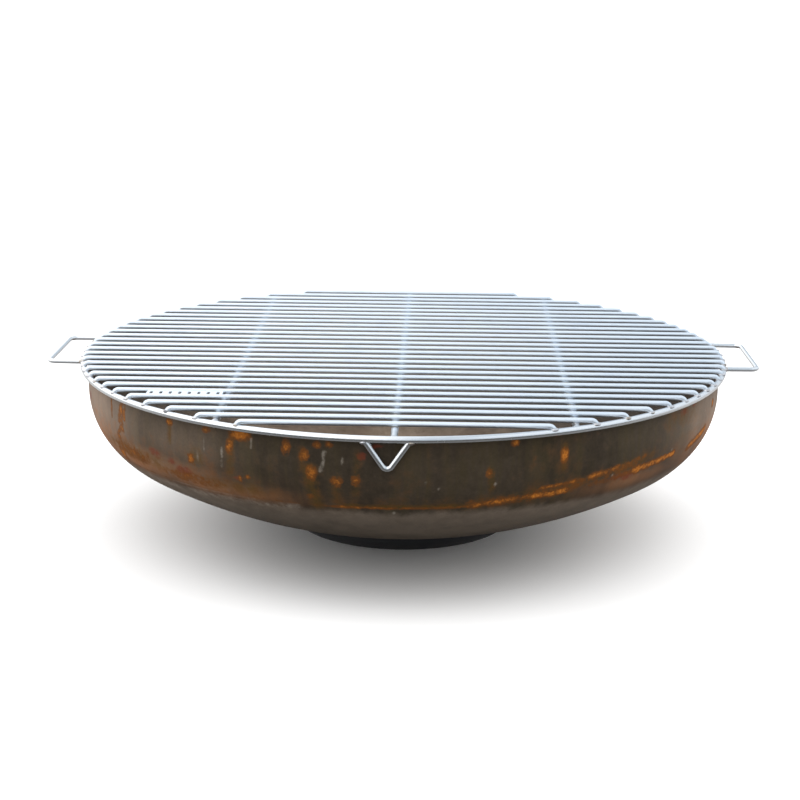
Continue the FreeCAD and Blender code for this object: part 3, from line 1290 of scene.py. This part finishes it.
    def handle_chain(self, side: int) -> list[Vector]:
        """Corners of a handle; side is -1 on the left and +1 on the right.

        Args:
            side: Which handle.

        Returns:
            The corners.
        """
        at_ring, at_grip = self.handle_width_at_ring / 2, self.handle_width_at_grip / 2
        low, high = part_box(HANDLES[side])
        grip = low.x + self.handle_radius if side < 0 else high.x - self.handle_radius
        mid = (low.y + high.y) / 2
        ends = [(side * self.half_chord(mid + y), mid + y) for y in (-at_ring, at_ring)]
        places = (ends[0], (grip, mid - at_grip), (grip, mid + at_grip), ends[1])
        return [Vector((x, y, self.ring_z)) for x, y in places]

    def lug_chain(self, number: int) -> list[Vector]:
        """Corners of a lug; number 0 is the front one and the others follow anticlockwise.

        Args:
            number: Which lug.

        Returns:
            The corners.
        """
        turn = Matrix.Rotation(math.radians(self.lug_first_angle + 120 * number), 3, "Z")
        plane = -self.half_chord(self.lug_half_width)
        width = self.lug_half_width
        places = ((-width, self.ring_z), (0.0, self.ring_z - self.lug_depth), (width, self.ring_z))
        return [turn @ Vector((x, plane, z)) for x, z in places]

    def bead_points(self) -> list[tuple[Vector, Bead]]:
        """Chooses where the weld beads are.

        Returns:
            The place and kind of each bead.
        """
        found: list[tuple[Vector, Bead]] = []
        seat = self.cross_rod_z + self.cross_rod_radius - self.nugget_sink
        top = self.ring_z + self.ring_rod_radius - self.tack_sink
        for y in self.bar_ys:
            for rod in self.cross_rods.values():
                if abs(rod.x) < self.half_chord(y) - self.nugget_margin:
                    found.append((Vector((rod.x, y, seat)), Bead.NUGGET))
            for side in SIDES:
                found.append((Vector((side * self.half_chord(y), y, top)), Bead.TACK))
        for rod in self.cross_rods.values():
            for side in SIDES:
                y = side * (self.half_chord(rod.x) - self.butt_set_back)
                found.append((Vector((rod.x, y, self.ring_z)), Bead.BUTT))
        for side in SIDES:
            chain = self.handle_chain(side)
            for end in (chain[0], chain[-1]):
                found.append((end + Vector((side * self.handle_bead_out, 0, 0)), Bead.HANDLE))
        for number in range(len(LUG_PLACES)):
            chain = self.lug_chain(number)
            for end in (chain[0], chain[-1]):
                found.append((end - Vector((0, 0, self.lug_bead_drop)), Bead.LUG))
        return found

    def strip(self, material: bpy.types.Material) -> bpy.types.Object:
        """The flat strip with its row of slots, with small rounds on every edge.

        Args:
            material: The finish.

        Returns:
            The piece.
        """
        low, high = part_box("slotted_strip")
        pitch = (high.x - low.x) / self.strip_slots
        xs = [low.x]
        for number in range(self.strip_slots):
            centre = low.x + (number + 0.5) * pitch
            xs += [centre - self.strip_slot_width / 2, centre + self.strip_slot_width / 2]
        xs.append(high.x)
        mid = (low.y + high.y) / 2
        ys = [low.y, mid - self.strip_slot_length / 2, mid + self.strip_slot_length / 2, high.y]
        points = [(x, y, low.z) for x in xs for y in ys]
        faces = []
        for i in range(len(xs) - 1):
            for j in range(len(ys) - 1):
                if i % 2 == 1 and j == 1:
                    continue
                a = i * len(ys) + j
                faces.append((a, a + len(ys), a + len(ys) + 1, a + 1))
        mesh = bpy.data.meshes.new("slotted_strip_plate")
        mesh.from_pydata(points, [], faces)
        mesh.materials.append(material)
        piece = new_piece("slotted_strip_plate", mesh)
        thick = piece.modifiers.new("thickness", "SOLIDIFY")
        thick.thickness, thick.offset = high.z - low.z, 1.0
        edge = piece.modifiers.new("edges", "BEVEL")
        edge.width, edge.segments, edge.limit_method = self.strip_edge, 2, "ANGLE"
        return piece

    def bent_rods(self) -> list[Rod]:
        """Lists the single rods.

        Returns:
            The cross rods, the handles and the lugs.
        """
        found: list[Rod] = []
        for number, (name, place) in enumerate(sorted(self.cross_rods.items())):
            reach = self.half_chord(place.x) - self.cross_rod_gap
            chain = [Vector((place.x, side * reach, self.cross_rod_z)) for side in (-1, 0, 1)]
            found.append(Rod(name, chain, self.cross_rod_radius, 0.0, number, Polish.SATIN))
        radius, bend = self.handle_radius, self.handle_bend
        for number, side in enumerate(SIDES, start=5):
            found.append(Rod(HANDLES[side], self.handle_chain(side), radius, bend, number, Polish.BRIGHT))
        radius, bend = self.lug_radius, self.lug_bend
        for number, place in enumerate(LUG_PLACES):
            name = f"locating_lug_{place}"
            found.append(Rod(name, self.lug_chain(number), radius, bend, number, Polish.BRIGHT))
        return found

    def beads(self) -> bpy.types.Object:
        """Makes all the weld beads.

        Returns:
            One piece.
        """
        spots = self.bead_points()
        source = bpy.data.meshes.new("weld_bead_points")
        source.from_pydata([tuple(place) for place, _ in spots], [], [])
        sizes = source.attributes.new("bead_size", "FLOAT_VECTOR", "POINT")
        sizes.data.foreach_set("vector", [number * MM for _, bead in spots for number in bead.value])
        values = {"Seed": self.bead_seed, "Roughness": self.bead_roughness, "Material": WeldBead().material()}
        return self.bead_group().build("weld_beads", source, **values)

    def build(self) -> list[bpy.types.Object]:
        """Makes the grate.

        Returns:
            Its pieces, each standing for its CAD nodes.
        """
        finishes = {polish: BrightRod(polish).material() for polish in Polish}
        satin = finishes[Polish.SATIN]
        bent = self.bent_rod_group()
        ring = self.ring_group().build(
            "grate_ring_rod", Ring_radius=self.ring_radius, Rod_radius=self.ring_rod_radius,
            Height=self.ring_z,
            Segments=self.ring_segments, Tone_seed=self.tone_seed, Material=finishes[Polish.BRIGHT],
        )
        bars = self.bar_group().build(
            "bar_row_rods", Count=len(self.bar_ys), Back_y=self.bar_ys[0], Front_y=self.bar_ys[-1],
            Ring_radius=self.ring_radius, Ring_height=self.ring_z, Bar_height=self.bar_z,
            Bar_radius=self.bar_radius, Bend_radius=self.bar_bend, Tone_seed=self.tone_seed, Material=satin,
        )
        made = [(ring, ["grate_ring"]), (bars, self.bar_names)]
        made += [(rod.build(bent, finishes[rod.polish]), [rod.name]) for rod in self.bent_rods()]
        made += [(self.strip(satin), ["slotted_strip"]), (self.beads(), [])]
        for piece, nodes in made:
            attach(piece, self.body)
            if nodes:
                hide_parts(*nodes)
        return [piece for piece, _ in made]


# --- studio --------------------------------------------------------------------------------------


@dataclass
class Studio:
    """Pale floor, soft light and the camera."""

    floor_half_width: float = 60.0
    floor_tone: float = 0.87
    floor_bounce: float = 0.42
    distance: float = 2.2435
    elevation: float = 13.12
    azimuth: float = 1.335
    aim: tuple[float, float, float] = (-0.004, 0.0, 0.1555)
    lens: float = 78.4
    sensor: float = 36.0
    roll: float = 0.49

    def floor(self) -> None:
        """A wide pale floor under the foot ring."""
        w = self.floor_half_width
        mesh = bpy.data.meshes.new("floor")
        mesh.from_pydata([(-w, -w, 0), (w, -w, 0), (w, w, 0), (-w, w, 0)], [], [(0, 1, 2, 3)])
        material, g = new_shader("floor_paint")
        rays = g.node("ShaderNodeLightPath")
        seen, mirrored = (Value(g, rays.outputs[f"Is {kind} Ray"]) for kind in ("Camera", "Glossy"))
        behind = g.split(g.coordinate())[1].step(-0.8, 0.2)
        unseen = self.floor_bounce + mirrored * (0.06 + behind * 0.26 - self.floor_bounce)
        tone = unseen + seen * (self.floor_tone - unseen)
        paint_coat = g.node("ShaderNodeBsdfDiffuse", None, {"Color": g.joined(tone, tone, tone)})
        g.node("ShaderNodeOutputMaterial", None, {"Surface": paint_coat.outputs[0]})
        mesh.materials.append(material)
        new_piece("floor", mesh)

    def sky(self) -> None:
        """White to the camera, and a soft gradient for the light: bright above and behind, dark in front."""
        world = bpy.data.worlds.new("studio")
        world.use_nodes = True
        g = ShaderGraph(world.node_tree)
        direction = g.node("ShaderNodeTexCoord").outputs["Generated"]
        x, y, z = g.split(direction)
        top = z.step(0.05, 0.95)
        back = y.step(-0.45, 0.75)
        beside = y.step(-0.65, 0.1)
        left = (x * -1).step(0.45, 0.95) * beside
        right = x.step(0.45, 0.95) * beside
        across = x.step(-0.15, 0.15)
        wide = x.math("ABSOLUTE", x).step(0.2, 0.45)
        soft = 0.24 + top * 1.75 + back * 0.5 + left * 3.4 + right * 3.0
        fade = 0.82 + z.step(0.0, 0.9) * 0.18
        window = z.step(-0.24, -0.04) * (1.50 - across * 0.66 + wide * 0.30) * fade
        rays = g.node("ShaderNodeLightPath")
        shown, mirrored = (Value(g, rays.outputs[f"Is {kind} Ray"]) for kind in ("Camera", "Glossy"))
        strength = soft + mirrored * (window - soft)
        cool = mirrored * (across * 1.0 + z.step(0.8, 0.0) * 0.35) * (1 - wide * 0.4)
        tint = g.mix(cool, (1.0, 1.0, 1.0), (0.78, 0.89, 1.0))
        colour = g.mix(shown, tint, (1.0, 1.0, 1.0))
        level = strength + shown * (1 - strength)
        light = g.node("ShaderNodeBackground", None, {"Color": colour, "Strength": level})
        g.node("ShaderNodeOutputWorld", None, {"Surface": light.outputs[0]})
        bpy.context.scene.world = world

    def camera(self) -> None:
        """The camera at a low front view."""
        data = bpy.data.cameras.new("camera")
        data.lens, data.sensor_width, data.clip_end = self.lens, self.sensor, 300.0
        camera = bpy.data.objects.new("camera", data)
        bpy.context.scene.collection.objects.link(camera)
        up, turn = math.radians(self.elevation), math.radians(self.azimuth)
        rim = Vector((0, 0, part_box("bowl")[1].z))
        back = Vector((math.sin(turn) * math.cos(up), -math.cos(turn) * math.cos(up), math.sin(up)))
        place = rim + back * self.distance
        towards = Vector(self.aim) - place
        facing = towards.to_track_quat("-Z", "Y").to_matrix()
        rotation = facing @ Matrix.Rotation(math.radians(self.roll), 3, "Z")
        camera.matrix_world = Matrix.Translation(place) @ rotation.to_4x4()
        bpy.context.scene.camera = camera

    def build(self) -> None:
        """Sets up everything that isn't the object."""
        self.camera()
        self.floor()
        self.sky()
        bpy.context.scene.view_settings.view_transform = "Standard"


def main() -> None:
    """Builds the studio and the object."""
    logging.basicConfig(level=logging.INFO, format="%(name)s: %(message)s")
    Studio().build()
    shell = spun_shell_group()
    for pieces in (FootRing().build(shell), Bowl().build(shell), Grate().build()):
        for piece in pieces:
            LOG.info("%s: %d faces", piece.name, len(piece.data.polygons))


if __name__ == "__main__":
    main()
